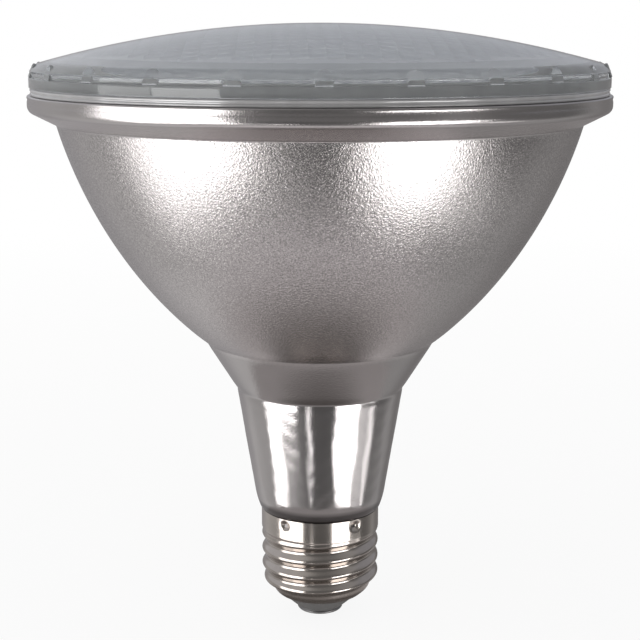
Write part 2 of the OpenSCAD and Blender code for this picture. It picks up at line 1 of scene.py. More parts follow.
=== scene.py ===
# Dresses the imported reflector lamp: satin silvered glass, prismatic lens, rolled screw cap and burner.
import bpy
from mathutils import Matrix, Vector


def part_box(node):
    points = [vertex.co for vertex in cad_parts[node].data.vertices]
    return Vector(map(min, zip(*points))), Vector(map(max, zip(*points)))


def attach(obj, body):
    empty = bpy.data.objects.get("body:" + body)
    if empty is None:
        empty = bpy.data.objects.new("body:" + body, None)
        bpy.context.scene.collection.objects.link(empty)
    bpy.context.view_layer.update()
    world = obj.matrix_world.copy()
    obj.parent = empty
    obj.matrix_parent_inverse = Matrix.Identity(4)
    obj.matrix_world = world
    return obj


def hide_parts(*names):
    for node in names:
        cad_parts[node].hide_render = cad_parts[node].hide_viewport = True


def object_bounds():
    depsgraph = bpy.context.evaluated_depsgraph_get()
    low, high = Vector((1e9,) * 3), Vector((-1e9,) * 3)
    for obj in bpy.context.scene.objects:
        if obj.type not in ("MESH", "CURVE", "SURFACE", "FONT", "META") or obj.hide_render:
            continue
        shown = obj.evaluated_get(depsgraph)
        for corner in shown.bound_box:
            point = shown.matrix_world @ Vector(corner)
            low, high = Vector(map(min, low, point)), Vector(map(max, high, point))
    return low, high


bl_info = {
    "name": "Reflector Lamp Dressing",
    "version": (1, 0, 0),
    "blender": (4, 5, 0),
    "location": "View3D > Sidebar > Lamp",
    "description": "Models the glass, the cap and the finishes of a reflector lamp round its packed frame",
    "category": "Add Mesh",
}

import math

import bpy
from bpy.props import FloatProperty, FloatVectorProperty, IntProperty, PointerProperty
from mathutils import Matrix, Vector

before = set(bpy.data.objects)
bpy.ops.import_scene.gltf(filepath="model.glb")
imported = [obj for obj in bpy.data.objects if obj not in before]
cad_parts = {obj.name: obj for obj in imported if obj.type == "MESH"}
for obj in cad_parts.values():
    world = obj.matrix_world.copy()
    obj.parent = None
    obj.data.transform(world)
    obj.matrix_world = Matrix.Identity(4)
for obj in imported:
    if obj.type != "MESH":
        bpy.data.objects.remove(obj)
CAD_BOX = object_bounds()
FLOOR_Z = CAD_BOX[0].z

MM = 0.001
BODY = "root"
JOIN = 0.002 * MM
LENS_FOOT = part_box("front_lens")[0].z
LENS_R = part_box("front_lens")[1].x
GLASS_FOOT, GLASS_TOP = (corner.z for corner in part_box("reflector_body"))
LIP_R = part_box("reflector_body")[1].x
SHELL_FOOT, SHELL_RIM = (corner.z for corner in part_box("cap_shell"))
BAND_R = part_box("cap_shell")[1].x
FERRULE_RISE = 1.0 * MM
WEB_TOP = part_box("ferrule_left")[1].z - FERRULE_RISE
# Steps round the axis of each turned piece
LENS_STEPS = 192
GLASS_STEPS = 256
SHELL_STEPS = 240
# Places of the lens's four materials
CLEAR, CEMENTED, PRISMS, BORDER = range(4)


def length(label, words, metres):
    """A size that the sidebar shows as a length."""
    return FloatProperty(name=label, description=words, default=metres, min=0, unit="LENGTH", precision=5)


def angle(label, words, degrees):
    """A turn or a slope, shown in degrees."""
    return FloatProperty(name=label, description=words, default=math.radians(degrees), unit="ROTATION")


def count(label, words, number):
    """How many of something there are."""
    return IntProperty(name=label, description=words, default=number, min=1)


def share(label, words, value):
    """A value from 0 to 1, shown as a slider."""
    return FloatProperty(name=label, description=words, default=value, min=0, max=1, subtype="FACTOR")


def colour(label, words, value):
    """A colour that the sidebar shows as a swatch."""
    return FloatVectorProperty(name=label, description=words, default=value, min=0, max=1, subtype="COLOR")


class LampLensSizes(bpy.types.PropertyGroup):
    """Sizes of the pressed lens."""

    dome_radius: length("Dome radius", "Radius of the domed face", 0.215)
    thickness: length("Thickness", "Glass between the dome and the prisms", 0.0032)
    shoulder: length("Shoulder", "Rounding between the dome and the edge", 0.003)
    flange_height: length("Flange height", "Height of the edge under the shoulder", 0.00215)
    flange_width: length("Flange width", "Width of the flange that meets the cement", 0.0048)
    groove_height: length("Groove height", "Height of the groove in the edge", 0.0011)
    groove_depth: length("Groove depth", "Depth of the groove in the edge", 0.0005)
    groove_lift: length("Groove lift", "How far the groove reaches up the shoulder", 0.0011)
    prism_pitch: length("Prism pitch", "Side of one square prism", 0.0032)
    prism_height: length("Prism height", "Height of one prism", 0.0009)
    field_radius: length("Field radius", "Radius of the field of prisms", 0.0512)
    field_turn: angle("Field turn", "Turn of the prism rows", 1.5)
    lug_count: count("Lugs", "Lugs across the groove", 24)
    lug_width: length("Lug width", "Width of one lug", 0.0032)
    lug_height: length("Lug height", "Height of one lug", 0.0031)
    lug_lean: length("Lug lean", "How far the head of a lug leans in with the shoulder", 0.0012)
    lug_start: angle("First lug", "Angle of the first lug", 270.7)


class LampGlassSizes(bpy.types.PropertyGroup):
    """Sizes of the pressed reflector glass, from the cap up to the rim."""

    neck_low_radius: length("Neck radius", "Radius where the neck leaves the cap", 0.0133)
    neck_height: length("Neck height", "Height of the neck above the cap", 0.0278)
    shoulder_radius: length("Shoulder radius", "Radius where the neck turns in towards the cap", 0.01425)
    shoulder_height: length("Shoulder height", "Height of that turn above the cap", 0.0027)
    neck_top_radius: length("Neck top radius", "Radius at the top of the neck", 0.0183)
    cone_height: length("Cone height", "Height of the short cone", 0.0108)
    cone_top_radius: length("Cone top radius", "Radius at the top of the cone", 0.025)
    bowl_height: length("Bowl height", "Height of the bowl", 0.0466)
    bowl_radius: length("Bowl radius", "Radius at the top of the bowl", 0.0549)
    low_slope: angle("Low slope", "Slope of the bowl where it leaves the cone", 38.8)
    high_slope: angle("High slope", "Slope of the bowl under the rim", 74.5)
    low_pull: share("Low pull", "Pull of the low slope on the bowl's curve, as a share of its chord", 0.332)
    high_pull: share("High pull", "Pull of the high slope, likewise", 0.339)
    collar_slope: angle("Collar slope", "Slope of the collar under the rim", 27)
    lip_height: length("Lip height", "Height of the upright face of the rim", 0.0021)
    rim_seam: length("Rim seam", "Depth of the seam under the rim's top edge", 0.00012)
    lip_round: length("Lip rounding", "Rounding under the rim", 0.0016)
    corner_round: length("Corner rounding", "Rounding at each change of slope", 0.0014)
    wall: length("Wall", "Glass at the mouth and at the foot of the reflector", 0.0032)
    well_radius: length("Well radius", "Radius of the well under the burner", 0.012)
    web: length("Web", "Thickness of the web that carries the ferrules", 0.0036)
    hollow_radius: length("Hollow radius", "Radius of the hollow in the neck", 0.0108)
    seam_depth: length("Seam depth", "Depth of the shallow seam at each change of slope", 0.00009)
    seam_width: length("Seam width", "Width of that seam", 0.002)
    ripple: length("Ripple", "Depth of the ripples that pressing leaves in the neck", 0.00007)


class LampCapSizes(bpy.types.PropertyGroup):
    """Sizes of the rolled screw shell."""

    thread_pitch: length("Pitch", "Rise of the right-hand thread in one turn", 0.00362)
    thread_depth: length("Thread depth", "Depth of the thread from crest to root", 0.00095)
    thread_turn: angle("Thread turn", "Turn of the thread about the axis", 343)
    run_out: length("Run-out", "Height over which the thread fades in from the foot", 0.002)
    foot_radius: length("Foot radius", "Radius of the shell's foot", 0.0099)
    foot_height: length("Foot height", "Height over which the shell narrows", 0.0045)
    band_height: length("Band height", "Height of the plain band", 0.0047)
    wall: length("Wall", "Thickness of the metal", 0.0005)
    dimple_count: count("Dimples", "Punched dimples round the band", 5)
    dimple_turn: angle("First dimple", "Angle of the first dimple", 18)
    dimple_drop: length("Dimple drop", "How far the dimples lie below the rim", 0.0015)
    dimple_width: length("Dimple width", "Width of each punched dimple", 0.0028)
    dimple_depth: length("Dimple depth", "Depth of each punched dimple", 0.0007)


class LampFinishes(bpy.types.PropertyGroup):
    """Colours and finishes."""

    silver: colour("Silver", "Silvered glass seen from outside", (0.43, 0.405, 0.40))
    nickel: colour("Nickel", "Plated shell", (0.43, 0.39, 0.36))
    lens: colour("Lens", "Tint of the lens glass", (0.93, 0.955, 0.97))
    prisms: colour("Prisms", "Prisms inside the lens", (0.52, 0.54, 0.57))
    border_shade: share("Border shade", "Brightness of the border round the prisms, against theirs", 0.62)
    joint: colour("Cemented edge", "Foot of the lens, with the cement behind it", (0.30, 0.30, 0.30))
    cement: colour("Cement", "Ring of cement between lens and rim", (0.24, 0.235, 0.235))
    grain: length("Grain", "Size of the satin grain on the bowl", 0.00038)
    grain_depth: length("Grain depth", "Depth of the satin grain", 0.00008)
    bowl_roughness: share("Bowl roughness", "Roughness of the satin bowl", 0.13)
    neck_roughness: share("Neck roughness", "Roughness of the smooth neck", 0.1)


class LampStage(bpy.types.PropertyGroup):
    """The floor, the painted-shadow card, the softboxes and the camera."""

    camera_distance: length("Camera distance", "From the axis to the camera", 0.2849)
    camera_height: length("Camera height", "Height of the camera over the contact's tip", 0.1295)
    camera_pitch: angle("Camera pitch", "How far the camera looks down", 12.17)
    camera_lens: FloatProperty(name="Focal length", description="In millimetres", default=75.05)
    box_strength: FloatProperty(name="Softbox strength", description="Their brightness", default=4.5)
    box_distance: length("Softbox distance", "From the axis to each softbox", 0.4)
    floor_size: length("Floor size", "Width of the pale floor", 12.0)
    card_radius: length("Card radius", "Radius of the dark card under the cap", 0.075)
    card_drop: length("Card drop", "How far the card lies below the floor", 0.02)


def deselect_all():
    """Leaves edit mode and lets go of everything."""
    if bpy.context.object and bpy.context.object.mode != "OBJECT":
        bpy.ops.object.mode_set(mode="OBJECT")
    bpy.ops.object.select_all(action="DESELECT")


def pick(piece):
    """Makes one piece the only one in hand."""
    deselect_all()
    piece.select_set(True)
    bpy.context.view_layer.objects.active = piece


def arc(centre, radius, start, end, steps):
    """Points of an arc in the outline's plane; angles are in radians from the outward direction."""
    turns = [start + (end - start) * k / steps for k in range(steps + 1)]
    return [(centre[0] + radius * math.cos(a), centre[1] + radius * math.sin(a)) for a in turns]


def rounded(before, corner, after, radius, steps=8):
    """Points of the arc that rounds a corner of the outline."""
    b, u, v = Vector(corner), Vector(before) - Vector(corner), Vector(after) - Vector(corner)
    u.normalize()
    v.normalize()
    half = u.angle(v) / 2
    centre = b + (u + v).normalized() * radius / math.sin(half)
    p = b + u * radius / math.tan(half) - centre
    q = b + v * radius / math.tan(half) - centre
    start = math.atan2(p.y, p.x)
    turn = (math.atan2(q.y, q.x) - start + 3 * math.pi) % math.tau - math.pi
    return arc(centre, radius, start, start + turn, steps)


def draw_outline(name, points):
    """Draws an outline in the XZ plane: one vertex is pulled out from point to point."""
    deselect_all()
    bpy.ops.mesh.primitive_plane_add(size=MM, enter_editmode=True)
    piece = bpy.context.object
    piece.name = piece.data.name = name
    bpy.ops.mesh.merge(type="CENTER")
    bpy.ops.transform.translate(value=(points[0][0], 0, points[0][1]))
    for here, there in zip(points, points[1:]):
        step = (there[0] - here[0], 0, there[1] - here[1])
        bpy.ops.mesh.extrude_vertices_move(TRANSFORM_OT_translate={"value": step})
    return piece


def turned(name, points, steps):
    """A piece turned on the lamp's axis from its outline."""
    piece = draw_outline(name, points)
    bpy.ops.mesh.select_all(action="SELECT")
    bpy.ops.mesh.spin(steps=steps, angle=math.tau, center=(0, 0, 0), axis=(0, 0, 1))
    bpy.ops.mesh.select_all(action="SELECT")
    bpy.ops.mesh.remove_doubles(threshold=JOIN)
    bpy.ops.mesh.normals_make_consistent(inside=False)
    bpy.ops.object.mode_set(mode="OBJECT")
    return piece


def finish_with(piece, kind, **settings):
    """Adds one modifier to a piece and applies it."""
    modifier = piece.modifiers.new(kind.title(), kind)
    for key, value in settings.items():
        setattr(modifier, key, value)
    pick(piece)
    bpy.ops.object.modifier_apply(modifier=modifier.name)


def press(piece, share_at, depth, direction="NORMAL"):
    """Moves each point along its normal, or an axis, by depth times what share_at gives for its place."""
    marks = piece.vertex_groups.new(name="pressed")
    for vertex in piece.data.vertices:
        pressed = share_at(vertex.co)
        if pressed > 0:
            marks.add([vertex.index], min(1.0, pressed), "REPLACE")
    finish_with(piece, "DISPLACE", vertex_group=marks.name, strength=depth, mid_level=0, direction=direction)
    piece.vertex_groups.clear()


def cut(piece, tool, operation):
    """Cuts one closed piece with another, which is used up."""
    finish_with(piece, "BOOLEAN", operation=operation, object=tool, solver="MANIFOLD")
    bpy.data.objects.remove(tool)


def smooth(piece, degrees=30):
    """Smooth shading that keeps the corners sharper than the angle given."""
    pick(piece)
    bpy.ops.object.shade_smooth_by_angle(angle=math.radians(degrees))


def seat(piece, slot, materials, *nodes):
    """Gives a finished piece its materials and its body, and hides the nodes that it stands for; its slot is
    not used.
    """
    piece.data.materials.clear()
    for material in materials:
        piece.data.materials.append(material)
    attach(piece, BODY)
    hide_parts(*nodes)


def ease(t):
    """Rises softly from 0 to 1 as t does."""
    return 0.5 - 0.5 * math.cos(math.pi * min(1, max(0, t)))


def straight(a, b, steps):
    """Points that divide a line into equal steps, its end among them."""
    shares = [k / steps for k in range(1, steps + 1)]
    return [(a[0] + (b[0] - a[0]) * t, a[1] + (b[1] - a[1]) * t) for t in shares]


def axis_distance(place):
    """How far a place is from the lamp's axis."""
    return math.hypot(place.x, place.y)


def faces_axis(face):
    """Whether a face looks towards the lamp's axis."""
    return face.normal.x * face.center.x + face.normal.y * face.center.y < 0


class Nodes:
    """A node tree under construction, with short ways to add nodes."""

    def __init__(self, tree):
        self.nodes = tree.nodes
        self.links = tree.links

    def add(self, kind, **settings):
        node = self.nodes.new(kind)
        for key, value in settings.items():
            setattr(node, key, value)
        return node

    def place(self):
        """The place on the object, in its own coordinates."""
        return self.add("ShaderNodeTexCoord").outputs["Object"]

    def parts(self, place):
        """The X, Y and Z of a place or a direction."""
        apart = self.add("ShaderNodeSeparateXYZ")
        self.links.new(place, apart.inputs[0])
        return apart.outputs

    def distance(self, place):
        """How far a place is from the origin."""
        away = self.add("ShaderNodeVectorMath", operation="LENGTH")
        self.links.new(place, away.inputs[0])
        return away.outputs["Value"]

    def noise(self, place, scale, detail, roughness=0.5):
        """Noise round 0.5 at each place, as fine as scale says."""
        noise = self.add("ShaderNodeTexNoise")
        noise.inputs["Detail"].default_value = detail
        noise.inputs["Roughness"].default_value = roughness
        self.links.new(place, noise.inputs["Vector"])
        self.links.new(scale, noise.inputs["Scale"])
        return noise.outputs["Fac"]

    def ranged(self, source, low, high, start=0.0, end=1.0, soft=False):
        """source, rescaled from start..end to low..high, softly at both ends where asked."""
        node = self.add("ShaderNodeMapRange", interpolation_type="SMOOTHSTEP" if soft else "LINEAR")
        for label, value in {"From Min": start, "From Max": end, "To Min": low, "To Max": high}.items():
            node.inputs[label].default_value = value
        self.links.new(source, node.inputs["Value"])
        return node.outputs["Result"]

    def blended(self, mask, low, high):
        """A colour that goes from low to high with the mask, each a colour or another node's output."""
        node = self.add("ShaderNodeMix", data_type="RGBA")
        self.links.new(mask, node.inputs[0])
        for socket, value in ((node.inputs[6], low), (node.inputs[7], high)):
            if isinstance(value, tuple):
                socket.default_value = (*value, 1)
            else:
                self.links.new(value, socket)
        return node.outputs[2]

    def worked_out(self, operation, a, b):
        node = self.add("ShaderNodeMath", operation=operation)
        self.links.new(a, node.inputs[0])
        self.links.new(b, node.inputs[1])
        return node.outputs[0]

    def times(self, a, b):
        return self.worked_out("MULTIPLY", a, b)

    def plus(self, a, b):
        return self.worked_out("ADD", a, b)

    def seen_direct(self):
        """1 where the camera looks, straight or through glass."""
        ray = self.add("ShaderNodeLightPath").outputs
        return self.plus(ray["Is Camera Ray"], ray["Is Transmission Ray"])


class Effect(Nodes):
    """A node group that several materials share: a mask or height that is as fine as its Scale."""

    def __init__(self, name, scale):
        group = bpy.data.node_groups.new(name, "ShaderNodeTree")
        given = group.interface.new_socket("Scale", in_out="INPUT", socket_type="NodeSocketFloat")
        given.default_value = scale
        group.interface.new_socket("Mask", in_out="OUTPUT", socket_type="NodeSocketFloat")
        super().__init__(group)
        self.scale = self.add("NodeGroupInput").outputs["Scale"]

    def put_out(self, mask):
        self.links.new(mask, self.add("NodeGroupOutput").inputs["Mask"])


def grain_group():
    """Fine satin grain, for a bump and for the roughness."""
    effect = Effect("Satin grain", 2000.0)
    effect.put_out(effect.noise(effect.place(), effect.scale, 3, 0.6))


def haze_group():
    """Uneven haze left by handling and coating."""
    effect = Effect("Handling haze", 60.0)
    cloud = effect.noise(effect.place(), effect.scale, 4)
    effect.put_out(effect.ranged(cloud, 0.0, 1.0, 0.35, 0.65))


def streak_group():
    """Fine streaks that run round the axis, as drawn, rolled or turned metal has."""
    effect = Effect("Turned streaks", 900.0)
    place = effect.place()
    flat = effect.add("ShaderNodeVectorMath", operation="MULTIPLY")
    flat.inputs[1].default_value = (1, 1, 0)
    effect.links.new(place, flat.inputs[0])
    join = effect.add("ShaderNodeCombineXYZ")
    effect.links.new(effect.distance(flat.outputs[0]), join.inputs["X"])
    effect.links.new(effect.parts(place)["Z"], join.inputs["Z"])
    effect.put_out(effect.noise(join.outputs[0], effect.scale, 2))


class Recipe(Nodes):
    """A material under construction, round its shader."""

    def __init__(self, name, **values):
        self.material = bpy.data.materials.new(name)
        self.material.use_nodes = True
        super().__init__(self.material.node_tree)
        self.shader = self.nodes["Principled BSDF"]
        for label, value in values.items():
            socket = self.shader.inputs[label.replace("_", " ")]
            socket.default_value = (*value, 1) if hasattr(value, "__len__") else value

    def effect(self, group_name, scale):
        node = self.add("ShaderNodeGroup", node_tree=bpy.data.node_groups[group_name])
        node.inputs["Scale"].default_value = scale
        return node.outputs["Mask"]

    def feed(self, label, source):
        self.links.new(source, self.shader.inputs[label])

    def bump(self, height, distance, strength=None):
        node = self.add("ShaderNodeBump")
        node.inputs["Strength"].default_value = 1.0
        node.inputs["Distance"].default_value = distance
        if strength is not None:
            self.links.new(strength, node.inputs["Strength"])
        self.links.new(height, node.inputs["Height"])
        self.feed("Normal", node.outputs["Normal"])

    def height_mask(self, low, high):
        """0 below the height low and 1 above the height high."""
        return self.ranged(self.parts(self.place())["Z"], 0.0, 1.0, low, high)

    def mottled(self, mask, tone, low, high):
        """A tone that goes from low to high times its brightness with the mask."""
        return self.blended(mask, *(tuple(min(1.0, c * k) for c in tone) for k in (low, high)))

    def matter(self, tone, haze, tones, fine, shine, depth):
        """The material, once haze mottles its tone and a fine mask varies its roughness and its relief."""
        self.feed("Base Color", self.mottled(self.effect("Handling haze", haze), tone, *tones))
        self.feed("Roughness", self.ranged(fine, *shine))
        self.bump(fine, depth)
        return self.material


def satin_silver(finishes, sizes):
    """Silvered glass from outside: grainy satin on the bowl, smooth on the rim and the neck, with painted
    sheen on the collar and the bowl's foot and painted shade at the neck's foot.
    """
    recipe = Recipe("Satin silvered glass", Metallic=1.0, IOR=1.5)
    cone_foot = SHELL_RIM + sizes.neck_height
    bowl_foot = cone_foot + sizes.cone_height
    bowl_top = bowl_foot + sizes.bowl_height
    lip_foot = GLASS_TOP - sizes.lip_height - sizes.lip_round
    above_neck = recipe.height_mask(cone_foot - 0.5 * MM, cone_foot + 1 * MM)
    above_cone = recipe.height_mask(bowl_foot - 2 * MM, bowl_foot + 5 * MM)
    under_rim = recipe.height_mask(bowl_top + 0.2 * MM, bowl_top - 0.4 * MM)
    satin = recipe.times(above_cone, under_rim)
    on_rim = recipe.height_mask(bowl_top - 0.2 * MM, bowl_top + 0.4 * MM)
    collar = recipe.times(on_rim, recipe.height_mask(lip_foot + 0.6 * MM, lip_foot))
    near_foot = recipe.height_mask(bowl_foot + 22 * MM, bowl_foot + 1 * MM)
    bowl_low = recipe.times(near_foot, recipe.height_mask(bowl_foot - 1 * MM, bowl_foot + 1 * MM))
    painted_foot_shade = recipe.height_mask(SHELL_RIM + 2.8 * MM, SHELL_RIM + 1.6 * MM)

    pits = recipe.ranged(recipe.effect("Satin grain", 1.3 / finishes.grain), 0.0, 1.0, 0.3, 0.7)
    smooth_tone = recipe.mottled(recipe.effect("Handling haze", 45.0), finishes.silver, 0.94, 1.06)
    tone = recipe.blended(satin, smooth_tone, recipe.mottled(pits, finishes.silver, 0.62, 1.38))
    # Painted sheen: the collar under the rim and the bowl's foot above the cone are lifted towards a pale
    # pink-white, standing in for the light they reflect.
    painted_sheen = recipe.plus(recipe.ranged(collar, 0.0, 0.38), recipe.ranged(bowl_low, 0.0, 0.36))
    tone = recipe.blended(painted_sheen, tone, (1.0, 0.94, 0.93))
    # Painted shade: the neck's foot just above the cap is darkened towards near-black, standing in for the
    # dark it reflects.
    tone = recipe.blended(recipe.ranged(painted_foot_shade, 0.0, 0.75), tone, (0.06, 0.055, 0.055))
    recipe.feed("Base Color", tone)

    shine = recipe.ranged(satin, finishes.neck_roughness, finishes.bowl_roughness)
    recipe.feed("Roughness", recipe.plus(shine, recipe.ranged(on_rim, 0.0, 0.1)))
    off_neck = recipe.ranged(recipe.plus(above_neck, on_rim), 0.0, 0.12)
    depth = recipe.plus(recipe.ranged(satin, 0.2, 0.9), off_neck)
    recipe.bump(recipe.effect("Satin grain", 1 / finishes.grain), finishes.grain_depth, depth)
    return recipe.material


def reflector_mirror():
    """The bright coating inside."""
    recipe = Recipe("Reflector mirror", Metallic=1.0, Base_Color=(0.80, 0.81, 0.82))
    recipe.feed("Roughness", recipe.ranged(recipe.effect("Handling haze", 90.0), 0.04, 0.09))
    return recipe.material


def clear_glass(name, tint, roughness, scale, depth):
    """Clear glass with the faint unevenness of pressing or drawing."""
    recipe = Recipe(name, Base_Color=tint, Transmission_Weight=1.0, IOR=1.47)
    haze = recipe.effect("Handling haze", scale)
    recipe.feed("Roughness", recipe.ranged(haze, roughness, roughness * 1.8))
    recipe.bump(haze, depth)
    return recipe.material


def prism_glass(name, tone):
    """Pressed glass, dulled a little, so that it scatters some of the light."""
    recipe = Recipe(name, Transmission_Weight=0.55, IOR=1.47)
    haze = recipe.effect("Handling haze", 90.0)
    recipe.feed("Base Color", recipe.mottled(haze, tone, 0.95, 1.03))
    recipe.feed("Roughness", recipe.ranged(haze, 0.12, 0.2))
    return recipe.material


def set_cement(tone):
    """Cement that has set with a glossy skin."""
    recipe = Recipe("Cured cement", Coat_Weight=1.0, Coat_Roughness=0.1, Coat_IOR=2.0)
    fine = recipe.effect("Satin grain", 1 / (0.3 * MM))
    return recipe.matter(tone, 200.0, (0.88, 1.06), fine, (0.3, 0.45), 0.01 * MM)


def worked_metal(name, tone, roughness, streaks=900.0, depth=0.002 * MM):
    """Plated, drawn or rolled metal with fine streaks and a little tarnish."""
    recipe = Recipe(name, Metallic=1.0)
    lines = recipe.effect("Turned streaks", streaks)
    return recipe.matter(tone, 140.0, (0.92, 1.05), lines, (roughness * 0.7, roughness * 1.3), depth)


def dull_filler(name, tone, roughness, grain, depth):
    """Cement, fused glass filling, woven sleeve: matte, with grain and uneven colour."""
    recipe = Recipe(name)
    fine = recipe.effect("Satin grain", 1 / grain)
    return recipe.matter(tone, 200.0, (0.9, 1.04), fine, (roughness * 0.85, roughness * 1.1), depth)


class LAMP_OT_front_lens(bpy.types.Operator):
    """Models the pressed lens: dome, grooved edge with its lugs, and the field of pillow prisms inside"""

    bl_idname = "lamp.front_lens"
    bl_label = "Front lens"

    def execute(self, context):
        sizes = context.scene.lamp_lens
        finishes = context.scene.lamp_finishes
        shoulder_z = LENS_FOOT + sizes.flange_height
        edge_turn = math.asin((LENS_R - sizes.shoulder) / (sizes.dome_radius - sizes.shoulder))
        dome_z = shoulder_z - (sizes.dome_radius - sizes.shoulder) * math.cos(edge_turn)
        lens = self.blank(sizes, shoulder_z, dome_z, edge_turn)
        cut(lens, self.core(sizes, dome_z), "DIFFERENCE")
        cut(lens, self.lugs(sizes, shoulder_z), "UNION")
        smooth(lens)
        materials = [
            clear_glass("Lens glass", finishes.lens, 0.03, 160.0, 0.004 * MM),
            dull_filler("Cement behind glass", finishes.joint, 0.6, 0.3 * MM, 0.02 * MM),
            prism_glass("Pressed prisms", finishes.prisms),
            prism_glass("Pressed border", [c * finishes.border_shade for c in finishes.prisms]),
        ]
        seat(lens, "lens_glass", materials, "front_lens")
        for face in lens.data.polygons:
            face.material_index = self.material_of(face, sizes)
        return {"FINISHED"}

    def material_of(self, face, sizes):
        """Prism glass on the underside, cement on the foot and inside the flange, clear glass elsewhere."""
        away = axis_distance(face.center)
        foot = face.center.z < LENS_FOOT + JOIN
        if face.normal.z < -0.3 and not foot:
            return BORDER if away > sizes.field_radius else PRISMS
        flange = abs(away - LENS_R + sizes.flange_width) < 0.05 * MM and faces_axis(face)
        return CEMENTED if foot or flange else CLEAR

    def blank(self, sizes, shoulder_z, dome_z, edge_turn):
        """The lens before its inside is pressed out: dome, shoulder, grooved edge and a flat foot."""
        edge = 0.25 * MM
        groove_r = LENS_R - sizes.groove_depth
        groove_top = shoulder_z + sizes.groove_lift
        groove_foot = groove_top - sizes.groove_height
        arc_r = LENS_R - sizes.shoulder
        stop = math.asin(sizes.groove_lift / sizes.shoulder)
        dome = arc((0, dome_z), sizes.dome_radius, math.pi / 2, math.pi / 2 - edge_turn, 24)
        shoulder = arc((arc_r, shoulder_z), sizes.shoulder, math.pi / 2 - edge_turn, stop, 10)
        corners = [
            shoulder[-2], (shoulder[-1][0], groove_top), (groove_r, groove_top), (groove_r, groove_foot),
            (LENS_R, groove_foot), (LENS_R, LENS_FOOT), (0, LENS_FOOT),
        ]
        outline = dome + shoulder[1:-1] + rounded(*corners[:3], edge / 2, 3)
        for k in range(1, 5):
            outline += rounded(*corners[k:k + 3], edge, 4)
        return turned("front_lens_glass", outline + corners[-1:], LENS_STEPS)

    def core(self, sizes, dome_z):
        """The plunger that presses the inside: a round block whose top is the inner face and its pillows."""
        divisions = 6
        pitch = sizes.prism_pitch
        cells = 2 * math.ceil(LENS_R / pitch)
        skirt = 20 * MM
        face_r = sizes.dome_radius - sizes.thickness
        hair = 1e-4
        deselect_all()
        bpy.ops.mesh.primitive_grid_add(x_subdivisions=cells * divisions, y_subdivisions=cells * divisions,
                                        size=cells * pitch)
        core = bpy.context.object
        core.name = "lens_plunger"

        def pillow(point):
            """Rise of the pillows as a share; where they meet, the highest of those a hair away."""
            best = 0.0
            for side_x in (-hair, hair):
                for side_y in (-hair, hair):
                    i = math.floor(point.x / pitch + side_x)
                    j = math.floor(point.y / pitch + side_y)
                    u = 2 * (point.x / pitch - i) - 1
                    v = 2 * (point.y / pitch - j) - 1
                    if math.hypot(i + 0.5, j + 0.5) * pitch < sizes.field_radius - pitch / 2:
                        best = max(best, 1 - (u * u + v * v) / 2)
            return best

        for vertex in core.data.vertices:
            away = min(LENS_R, axis_distance(vertex.co))
            vertex.co.z = dome_z + math.sqrt(face_r ** 2 - away ** 2)
        press(core, pillow, -sizes.prism_height, "Z")
        bpy.ops.object.mode_set(mode="EDIT")
        bpy.ops.mesh.select_all(action="SELECT")
        bpy.ops.mesh.region_to_loop()
        bpy.ops.mesh.extrude_edges_move(TRANSFORM_OT_translate={"value": (0, 0, -skirt)})
        bpy.ops.mesh.edge_face_add()
        bpy.ops.mesh.select_all(action="SELECT")
        bpy.ops.mesh.normals_make_consistent(inside=False)
        bpy.ops.object.mode_set(mode="OBJECT")
        core.rotation_euler.z = sizes.field_turn
        pick(core)
        bpy.ops.object.transform_apply(rotation=True)
        deselect_all()
        bpy.ops.mesh.primitive_cylinder_add(vertices=LENS_STEPS, radius=LENS_R - sizes.flange_width,
                                            depth=3 * skirt, location=(0, 0, LENS_FOOT))
        round_block = bpy.context.object
        bpy.ops.object.transform_apply(location=True)
        cut(core, round_block, "INTERSECT")
        return core

    def lugs(self, sizes, shoulder_z):
        """The lugs that bridge the groove: upright pads with round heads, copied round the edge."""
        proud = 0.15 * MM
        bite = 1.2 * MM
        depth = sizes.groove_depth + bite
        foot = shoulder_z + sizes.groove_lift - sizes.groove_height
        middle = (LENS_R + proud - depth / 2, 0, foot + sizes.lug_height / 2)
        head_round = 0.48 * sizes.lug_width
        edge_round = 0.3 * MM
        deselect_all()
        bpy.ops.mesh.primitive_cube_add(size=1, location=middle,
                                        scale=(depth, sizes.lug_width, sizes.lug_height))
        lug = bpy.context.object
        bpy.ops.object.transform_apply(location=True, scale=True)
        self.bevel(lug, lambda a, b: abs(a.x - b.x) > depth / 2 and a.z > middle[2], head_round, 8)
        self.bevel(lug, lambda a, b: min(a.x, b.x) > LENS_R, edge_round, 3)
        lean = math.atan2(sizes.lug_lean, sizes.lug_height)
        pick(lug)
        bpy.ops.object.mode_set(mode="EDIT")
        bpy.ops.mesh.select_all(action="SELECT")
        bpy.ops.transform.rotate(value=lean, orient_axis="Y", center_override=(LENS_R, 0, foot))
        bpy.ops.object.mode_set(mode="OBJECT")
        ring = []
        for k in range(sizes.lug_count):
            copy = lug.copy()
            copy.data = lug.data.copy()
            copy.data.transform(Matrix.Rotation(sizes.lug_start + math.tau * k / sizes.lug_count, 4, "Z"))
            bpy.context.scene.collection.objects.link(copy)
            ring.append(copy)
        bpy.data.objects.remove(lug)
        pick(ring[0])
        for copy in ring:
            copy.select_set(True)
        bpy.ops.object.join()
        return bpy.context.object

    def bevel(self, piece, wanted, width, segments):
        """Rounds the edges that wanted picks by their two ends."""
        pick(piece)
        bpy.ops.object.mode_set(mode="EDIT")
        bpy.ops.mesh.select_mode(type="EDGE")
        bpy.ops.mesh.select_all(action="DESELECT")
        bpy.ops.object.mode_set(mode="OBJECT")
        points = piece.data.vertices
        for edge in piece.data.edges:
            edge.select = wanted(*(points[k].co for k in edge.vertices))
        bpy.ops.object.mode_set(mode="EDIT")
        bpy.ops.mesh.bevel(offset=width, segments=segments, affect="EDGES")
        bpy.ops.mesh.select_mode(type="VERT")
        bpy.ops.object.mode_set(mode="OBJECT")


